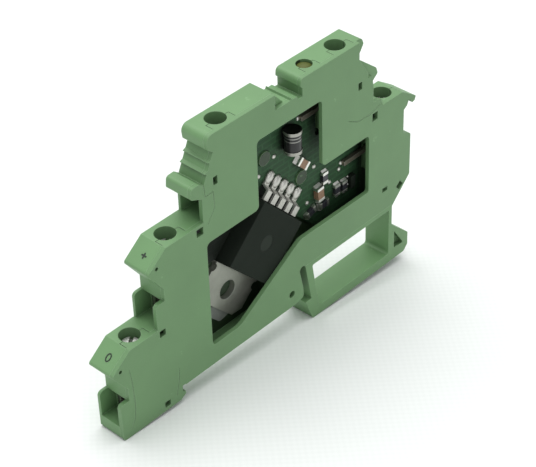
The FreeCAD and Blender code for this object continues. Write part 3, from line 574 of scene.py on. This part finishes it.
ends = bmesh.new()
for size, places in ((RESISTOR_SIZE, RESISTOR_PLACES), (CAPACITOR_SIZE, CAPACITOR_PLACES)):
    for x, z, angle in places:
        for side in (-1, 1):
            wrapped_end(ends, size, x, z, angle, side)
bmesh.ops.bevel(ends, geom=ends.edges[:], offset=END_ROUND * MM, segments=2, affect="EDGES")
BRIGHT_TIN = solder("bright tin", (0.72, 0.71, 0.66, 1), (0.95, 0.94, 0.90, 1))
finish_piece("chip_ends", ends, BRIGHT_TIN, "housing")


# Contact bars
# Tinned copper strips that the clamps press the wires against. Their tails are soldered to the
# board.

CLAMPS = ("lower_left", "middle_left", "top_left", "top_right", "lower_right")
TARNISHED = stamped_tin("contact tin", (0.11, 0.10, 0.075, 1), (0.28, 0.26, 0.20, 1))
dress(TARNISHED, *["contact_bar_" + clamp for clamp in CLAMPS])


# Clamp cages
# Folded from zinc plated steel strip, and threaded in their thick top. The plating is dull with
# a faint yellow tint.


def zinc(name, shade, rings):
    """Zinc plating, with the turned rings of a lathe or a thread where rings is above 0."""
    finish = Finish(name)
    where = finish.place()
    cloud = finish.noise(where, per_metre=520, detail=4.0)
    fine = finish.noise(where, per_metre=4200, detail=2.0)
    rounded, edge = finish.soft_edges(radius=0.1 * MM)
    tone = finish.mix(cloud, dimmed(shade, 0.72), shade)
    bright = finish.mix(edge, tone, (0.86, 0.86, 0.82, 1))
    height = fine * 0.3 + cloud * 0.2
    if rings:
        height = height + finish.wave(where, rings, "Z", wave_profile="TRI")
    normal = finish.bump(height, depth=0.05 * MM, strength=0.6, normal=rounded)
    return finish.wear(
        Base_Color=bright,
        Metallic=0.95,
        Roughness=0.3 + cloud * 0.2,
        Normal=normal,
    )


CAGE_ZINC = zinc("cage zinc", (0.62, 0.61, 0.55, 1), 0)
dress(CAGE_ZINC, *["clamp_cage_" + clamp for clamp in CLAMPS])


# Clamp screws
# Slotted M3 screws of zinc plated steel. Their heads stand below the top faces, in the screw
# holes, and the thread runs through the cage.

THREADS_PER_METRE = 640
SCREW_ZINC = zinc("screw zinc", (0.70, 0.70, 0.67, 1), THREADS_PER_METRE)
dress(SCREW_ZINC, *["clamp_screw_" + clamp for clamp in CLAMPS])


# Indicator lamp
# Lens of olive amber resin that shows in its hole in the top, on two dipped leads. It is unlit,
# and so dull and dark.


def amber():
    finish = Finish("amber resin")
    where = finish.place()
    depth = finish.noise(where, per_metre=500, detail=2.0)
    shade = finish.mix(depth, (0.055, 0.068, 0.014, 1), (0.115, 0.138, 0.030, 1))
    return finish.wear(
        Base_Color=shade,
        Roughness=0.36 + depth * 0.15,
        Specular_IOR_Level=0.2,
    )


dress(amber(), "indicator_lamp")


# Front cover
# Plate of the same polyamide that snaps on the base. It comes from another mould, and is a
# trace darker.

COVER_GREEN = (0.140, 0.272, 0.118, 1.0)
dress(moulded_green("cover green", COVER_GREEN), "front_cover")


# Terminal marks
# A nought and a plus, printed in black on the slanted faces of the two left terminals. They are
# the only marks on the module.

INK_LIFT = 0.02 * MM
INK_T = 0.04 * MM
SLANT_FALL = 3.6
SLANT_RUN = 4.7
SLANT = math.atan2(SLANT_FALL, SLANT_RUN)
LABEL_IN = 2.43
LABEL_DOWN = 1.86
LOWER_DECK = (-29.5, 17.0)
MIDDLE_DECK = (-19.1, 33.8)
NOUGHT_STEPS = 40
LABEL_OUT = Vector((-math.sin(SLANT), 0, math.cos(SLANT)))
LABEL_UP = Vector((math.cos(SLANT), 0, math.sin(SLANT)))
LABEL_SIDE = Vector((0, -1, 0))


def label_point(deck, across, up, lift):
    """Spot on the slanted label face that falls from the corner of a deck."""
    corner_x, top = deck
    centre = Vector(((corner_x - LABEL_IN) * MM, 0, (top - LABEL_DOWN) * MM))
    return centre + LABEL_SIDE * across * MM + LABEL_UP * up * MM + LABEL_OUT * lift


def nought(mesh, deck, width, height, stroke):
    """Oval ring of ink."""
    rings = []
    for lift in (INK_LIFT, INK_LIFT + INK_T):
        for inset in (0.0, stroke):
            ring = []
            for step in range(NOUGHT_STEPS):
                turn = 2 * math.pi * step / NOUGHT_STEPS
                across = (width / 2 - inset) * math.cos(turn)
                up = (height / 2 - inset) * math.sin(turn)
                ring.append(mesh.verts.new(label_point(deck, across, up, lift)))
            rings.append(ring)
    low_out, low_in, high_out, high_in = rings
    sides = ((low_out, high_out), (high_out, high_in), (high_in, low_in), (low_in, low_out))
    for step in range(NOUGHT_STEPS):
        after = (step + 1) % NOUGHT_STEPS
        for a, b in sides:
            mesh.faces.new((a[step], a[after], b[after], b[step]))


def plus(mesh, deck, span, stroke):
    """Cross of ink with twelve corners."""
    a, b = span / 2, stroke / 2
    outline = (
        (-b, -a), (b, -a), (b, -b), (a, -b), (a, b), (b, b),
        (b, a), (-b, a), (-b, b), (-a, b), (-a, -b), (-b, -b),
    )
    low, high = [
        [mesh.verts.new(label_point(deck, across, up, lift)) for across, up in outline]
        for lift in (INK_LIFT, INK_LIFT + INK_T)
    ]
    mesh.faces.new(list(reversed(low)))
    mesh.faces.new(high)
    for i in range(len(outline)):
        j = (i + 1) % len(outline)
        mesh.faces.new((low[i], low[j], high[j], high[i]))


def ink():
    finish = Finish("marking ink")
    patchy = finish.noise(finish.place(), per_metre=3000, detail=3.0)
    shade = finish.mix(patchy, (0.008, 0.012, 0.008, 1), (0.03, 0.05, 0.03, 1))
    return finish.wear(Base_Color=shade, Roughness=0.4 + patchy * 0.2)


INK = ink()
mark = bmesh.new()
nought(mark, LOWER_DECK, width=1.15, height=1.75, stroke=0.24)
finish_piece("mark_nought", mark, INK, "housing")
mark = bmesh.new()
plus(mark, MIDDLE_DECK, span=1.15, stroke=0.3)
finish_piece("mark_plus", mark, INK, "housing")


# Floor, light and camera
# The module stands on pale woven cloth, on the corner of its wing and the low edge of its foot,
# under a broad soft lamp and a weak front one. The lens looks down on its open side.

WING_CORNER = Vector((-32.6, 0, -2.9)) * MM
FOOT_CORNER = Vector((18.9, 0, -6.8)) * MM
FLOOR_HALF = 3.0
CLOTH_TURN = math.radians(42)
CLOTH_PER_METRE = 260.0


def pale_table():
    finish = Finish("pale table")
    where = finish.place()
    along_threads = finish.place(turn=(0, 0, CLOTH_TURN))
    cloth = finish.noise(where, per_metre=25, detail=4.0)
    warp = finish.wave(along_threads, CLOTH_PER_METRE, "X")
    weft = finish.wave(along_threads, CLOTH_PER_METRE, "Y")
    weave = warp * 0.5 + weft * 0.5
    smooth = finish.mix(cloth, (0.77, 0.79, 0.775, 1), (0.82, 0.84, 0.825, 1))
    shade = finish.mix(weave * 0.35, smooth, (0.70, 0.725, 0.705, 1))
    return finish.wear(Base_Color=shade, Roughness=0.6 + cloth * 0.2)


floor_line = (FOOT_CORNER - WING_CORNER).normalized()
floor_mesh = bpy.data.meshes.new("table")
floor_corners = []
for along, across in ((-1, -1), (1, -1), (1, 1), (-1, 1)):
    sideways = Vector((0, across * FLOOR_HALF, 0))
    floor_corners.append(FOOT_CORNER + floor_line * along * FLOOR_HALF + sideways)
floor_mesh.from_pydata([tuple(c) for c in floor_corners], [], [(0, 1, 2, 3)])
floor_mesh.materials.append(pale_table())
table = bpy.data.objects.new("table", floor_mesh)
bpy.context.scene.collection.objects.link(table)

AIM = Vector((8.1, -1.7, 20.3)) * MM


def lamp(name, place, width, power):
    light = bpy.data.lights.new(name, "AREA")
    light.shape = "DISK"
    light.size = width
    light.energy = power
    holder = bpy.data.objects.new(name, light)
    holder.location = place
    holder.rotation_mode = "QUATERNION"
    holder.rotation_quaternion = (AIM - Vector(place)).to_track_quat("-Z", "Y")
    bpy.context.scene.collection.objects.link(holder)


lamp("overhead", (0.1, 0.2, 1.05), width=1.5, power=14.5)
lamp("front fill", (-0.3, -1.15, 0.6), width=0.9, power=1.5)

SKY_LIGHT = 0.58
SKY_SEEN = 0.9
SKY_TINT = (0.97, 0.985, 1.0, 1.0)
world = bpy.data.worlds.new("studio")
bpy.context.scene.world = world
world.use_nodes = True
sky = world.node_tree.nodes["Background"]
seen = world.node_tree.nodes.new("ShaderNodeLightPath")
tone = world.node_tree.nodes.new("ShaderNodeMix")
tone.data_type = "FLOAT"
tone.inputs["A"].default_value = SKY_LIGHT
tone.inputs["B"].default_value = SKY_SEEN
world.node_tree.links.new(seen.outputs["Is Camera Ray"], tone.inputs["Factor"])
world.node_tree.links.new(tone.outputs[0], sky.inputs["Strength"])
sky.inputs["Color"].default_value = SKY_TINT

CAMERA_PLACE = Vector((-174.3, -177.1, 216.2)) * MM
CAMERA_ROLL = math.radians(-1.93)
FRAME_WIDTH = 36.0
FOCAL_LENGTH = 114.28
NEAREST_SEEN = 10 * MM
lens = bpy.data.cameras.new("camera")
lens.sensor_width = FRAME_WIDTH
lens.lens = FOCAL_LENGTH
lens.clip_start = NEAREST_SEEN
camera = bpy.data.objects.new("camera", lens)
camera.location = CAMERA_PLACE
camera.rotation_mode = "QUATERNION"
level = (AIM - CAMERA_PLACE).to_track_quat("-Z", "Y")
camera.rotation_quaternion = level @ Quaternion((0, 0, 1), CAMERA_ROLL)
bpy.context.scene.collection.objects.link(camera)
bpy.context.scene.camera = camera
bpy.context.scene.view_settings.view_transform = "Standard"
